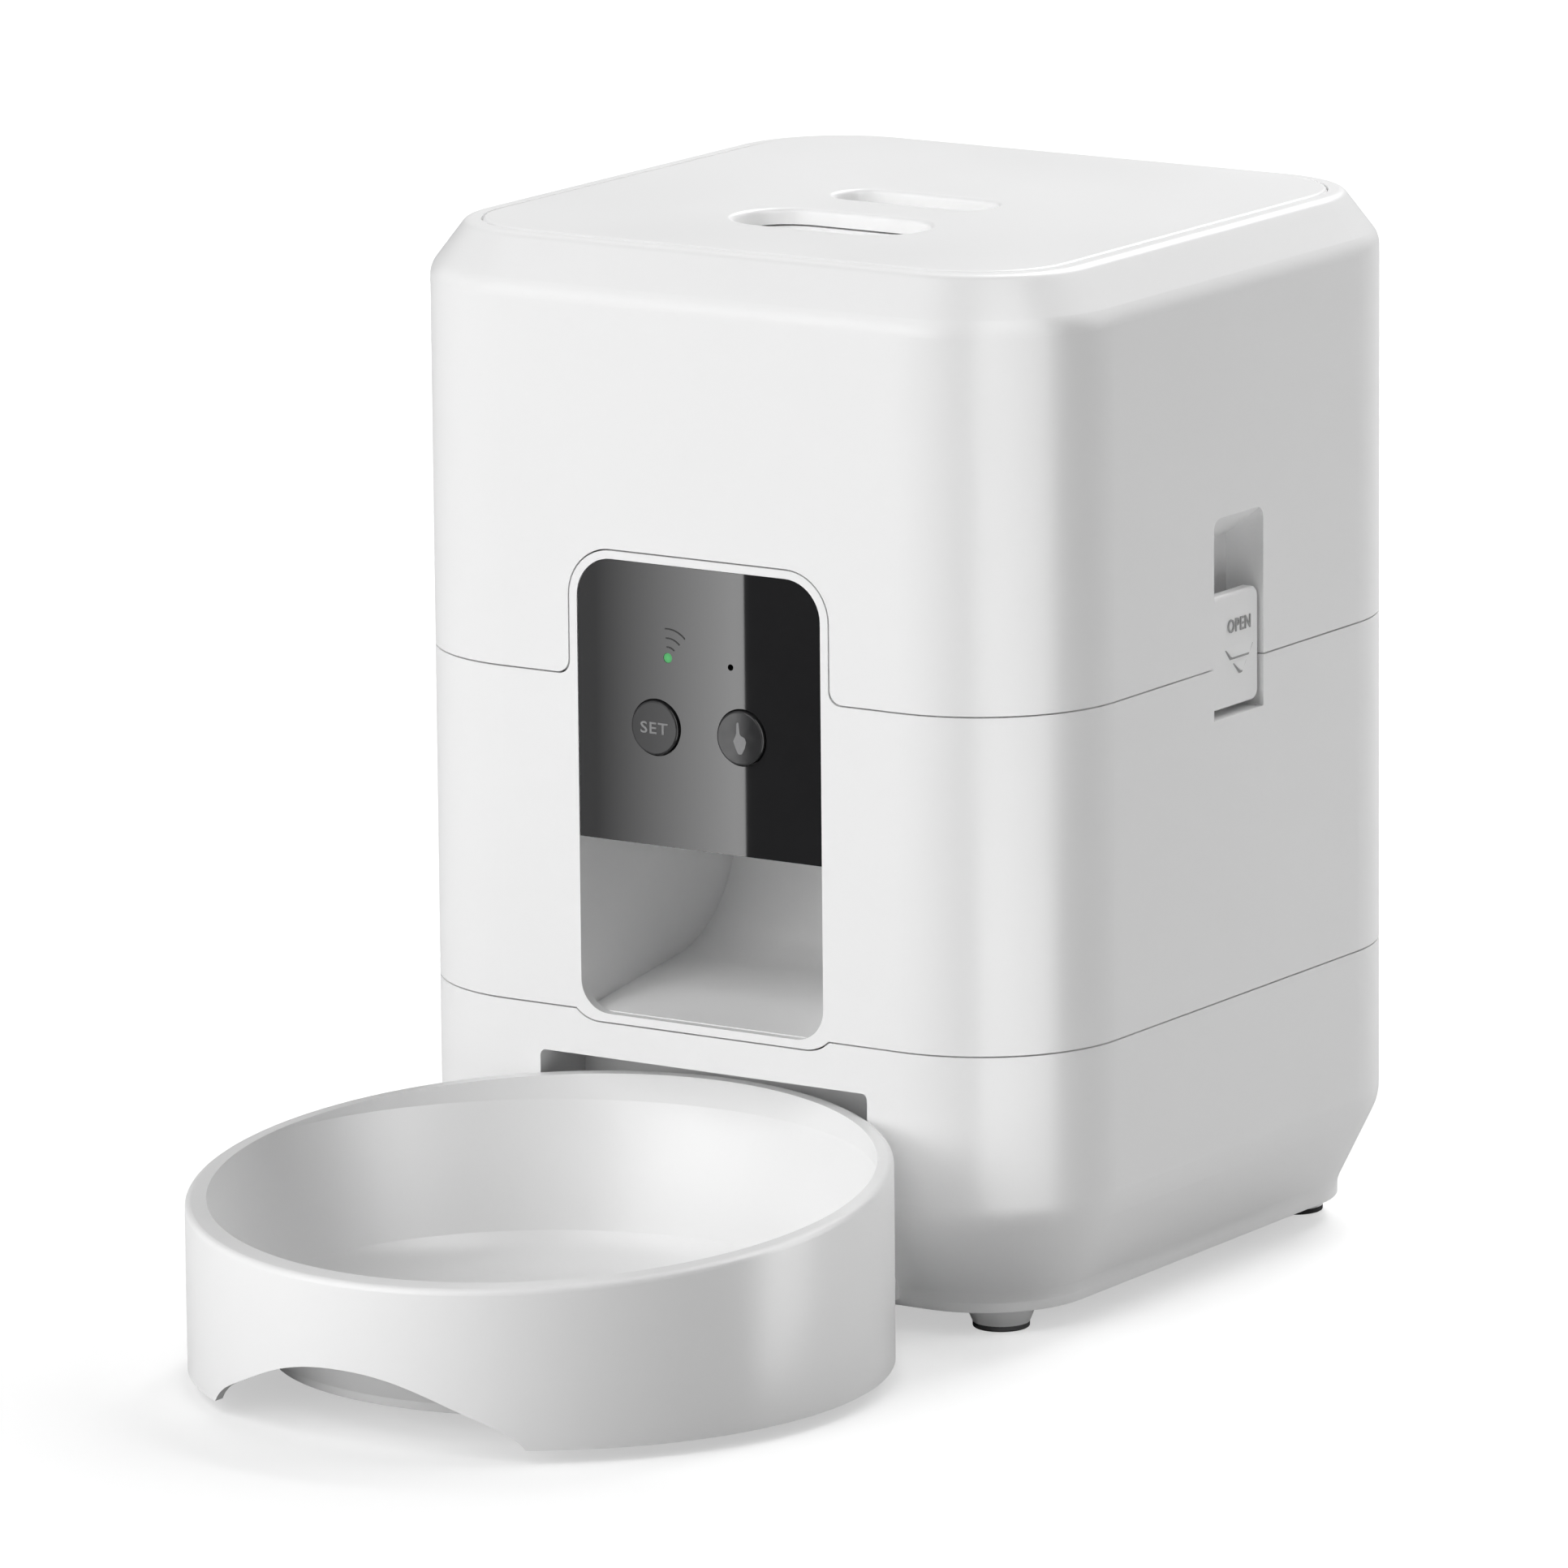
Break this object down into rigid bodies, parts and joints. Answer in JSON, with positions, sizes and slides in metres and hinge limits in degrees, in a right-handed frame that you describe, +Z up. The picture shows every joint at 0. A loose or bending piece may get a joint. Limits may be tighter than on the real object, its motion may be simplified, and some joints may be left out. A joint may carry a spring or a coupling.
{
  "type": "automatic pet feeder",
  "caption": "Square white dry-food feeder with a lift-off hopper and lid, dark control panel over a chute, and a round sloping bowl held at the front.",
  "frame": {"origin": "on the floor, at the middle of the bounding box of body and bowl", "axes": "+Z up, +Y from the bowl towards the back of the body, +X to the right seen from the front"},
  "size_m": [0.19, 0.3456, 0.2609],
  "materials": {
    "white_abs": "satin moulded ABS",
    "inner_abs": "plain moulded ABS",
    "black_rubber": "matte moulded rubber",
    "grey_rubber": "matte moulded rubber",
    "clear_silicone": "soft silicone",
    "panel_gloss": "polished black acrylic",
    "button_abs": "satin black ABS",
    "led_lens": "moulded light pipe",
    "circuit_board": "solder-masked board",
    "steel": "zinc-plated steel",
    "gear_acetal": "moulded acetal",
    "bronze": "sintered bronze",
    "black_plastic": "moulded black nylon",
    "battery_wrap": "printed metal sleeve, plain",
    "sachet": "non-woven sachet"
  },
  "bodies": {
    "base": {"base_shell": "white_abs", "rubber_feet": "black_rubber", "battery_holder": "inner_abs", "batteries": "battery_wrap", "battery_contacts": "steel", "battery_door": "inner_abs", "speaker": "black_plastic", "body_screws": "steel", "power_socket": "steel", "power_board": "circuit_board", "bowl_tongue": "white_abs", "mid_housing": "white_abs", "chute": "white_abs", "mid_deck": "inner_abs", "gearbox_plate": "inner_abs", "gearbox_screws": "steel", "drive_bush": "bronze", "motor": "steel", "control_panel": "panel_gloss", "control_board": "circuit_board", "tact_switches": "black_plastic", "status_led": "led_lens", "microphone": "steel", "wifi_module": "steel", "board_connectors": "black_plastic", "latch_pins": "steel"},
    "drive": {"drive_gear": "gear_acetal", "drive_coupler": "gear_acetal"},
    "pinion": {"motor_pinion": "gear_acetal", "motor_shaft": "steel"},
    "hopper": {"hopper_housing": "white_abs", "hopper_funnel": "inner_abs", "portion_guard": "inner_abs", "hopper_base_plate": "inner_abs", "hopper_screws": "steel"},
    "rotor": {"rotor_hub": "inner_abs", "rotor_blades": "clear_silicone"},
    "lid": {"lid": "white_abs", "grip_cover": "white_abs", "lid_seal": "clear_silicone"},
    "release": {"lid_release": "white_abs"},
    "desiccant": {"desiccant_box": "inner_abs", "desiccant_sachet": "sachet"},
    "latch_left_tab": {"latch_left": "white_abs"},
    "latch_right_tab": {"latch_right": "white_abs"},
    "set_key": {"set_button": "button_abs"},
    "feed_key": {"feed_button": "button_abs"},
    "bowl": {"bowl": "white_abs", "bowl_feet": "grey_rubber"}
  },
  "joints": [
    {"name": "drive_spin", "type": "hinge", "parent": "base", "child": "drive", "pos_m": [0, 0.0778, 0.14], "axis": [0, 0, 1], "continuous": true},
    {"name": "pinion_spin", "type": "hinge", "parent": "base", "child": "pinion", "pos_m": [0, 0.1002, 0.14], "axis": [0, 0, 1], "continuous": true},
    {"name": "hopper_lift", "type": "slide", "parent": "base", "child": "hopper", "axis": [0, 0, 1], "range_m": [0, 0.08]},
    {"name": "rotor_spin", "type": "hinge", "parent": "hopper", "child": "rotor", "pos_m": [0, 0.0778, 0.168], "axis": [0, 0, 1], "continuous": true},
    {"name": "lid_lift", "type": "slide", "parent": "hopper", "child": "lid", "axis": [0, 0, 1], "range_m": [0, 0.05]},
    {"name": "lid_release_slide", "type": "slide", "parent": "lid", "child": "release", "axis": [0, 1, 0], "range_m": [0, 0.004], "stiffness_N_per_m": 300, "springref_m": -0.002},
    {"name": "desiccant_twist", "type": "hinge", "parent": "lid", "child": "desiccant", "pos_m": [0, 0.1238, 0.25], "axis": [0, 0, 1], "range_deg": [0, 30]},
    {"name": "latch_left_swing", "type": "hinge", "parent": "base", "child": "latch_left_tab", "pos_m": [-0.0905, 0.0781, 0.148], "axis": [0, -1, 0], "range_deg": [0, 70], "stiffness_Nm_per_rad": 0.03, "springref_deg": -17.19},
    {"name": "latch_right_swing", "type": "hinge", "parent": "base", "child": "latch_right_tab", "pos_m": [0.0905, 0.0781, 0.148], "axis": [0, 1, 0], "range_deg": [0, 70], "stiffness_Nm_per_rad": 0.03, "springref_deg": -17.19},
    {"name": "set_button_press", "type": "slide", "parent": "base", "child": "set_key", "axis": [0, 1, 0], "range_m": [0, 0.0006], "stiffness_N_per_m": 600, "springref_m": -0.0003},
    {"name": "feed_button_press", "type": "slide", "parent": "base", "child": "feed_key", "axis": [0, 1, 0], "range_m": [0, 0.0006], "stiffness_N_per_m": 600, "springref_m": -0.0003},
    {"name": "bowl_pull", "type": "slide", "parent": "base", "child": "bowl", "axis": [0, -1, 0], "range_m": [0, 0.06]}
  ],
  "couplings": [
    {"joint": "pinion_spin", "follows": "drive_spin", "ratio": -3},
    {"joint": "rotor_spin", "follows": "drive_spin", "ratio": 1}
  ]
}
